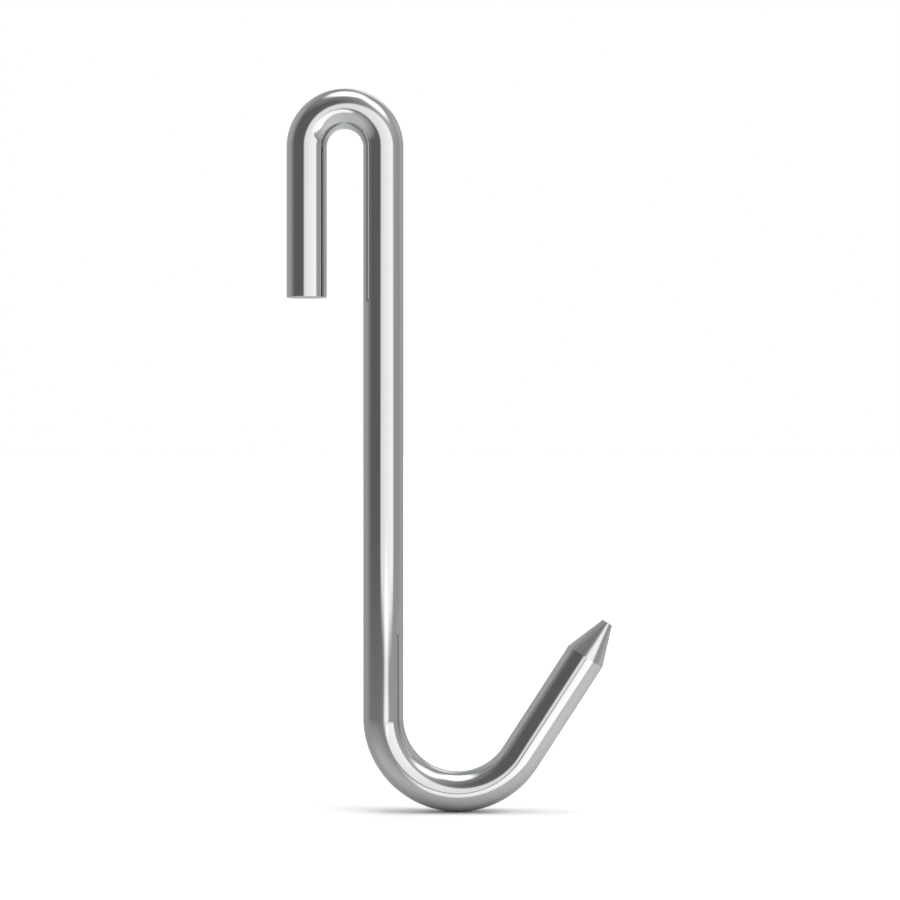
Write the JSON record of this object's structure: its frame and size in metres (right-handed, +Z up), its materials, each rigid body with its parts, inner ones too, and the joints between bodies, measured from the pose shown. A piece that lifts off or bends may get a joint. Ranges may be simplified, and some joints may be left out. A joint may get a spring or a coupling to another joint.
{
  "type": "j-hook",
  "caption": "J-hook bent from polished round steel bar: a narrow saddle bend with a short leg hangs on a flat rail, and a wide bend with a pointed arm carries the goods.",
  "frame": {"origin": "inside crown of the saddle bend, in the middle of the slot, where the hook bears on the top edge of the rail", "axes": "+Z up along the shank as the hook hangs, +X from the short leg towards the shank and the point, +Y square to the plane of the bends"},
  "size_m": [0.0807, 0.01, 0.1793],
  "materials": {
    "bar": "polished"
  },
  "bodies": {
    "root": {"j_hook": "bar"}
  },
  "joints": []
}
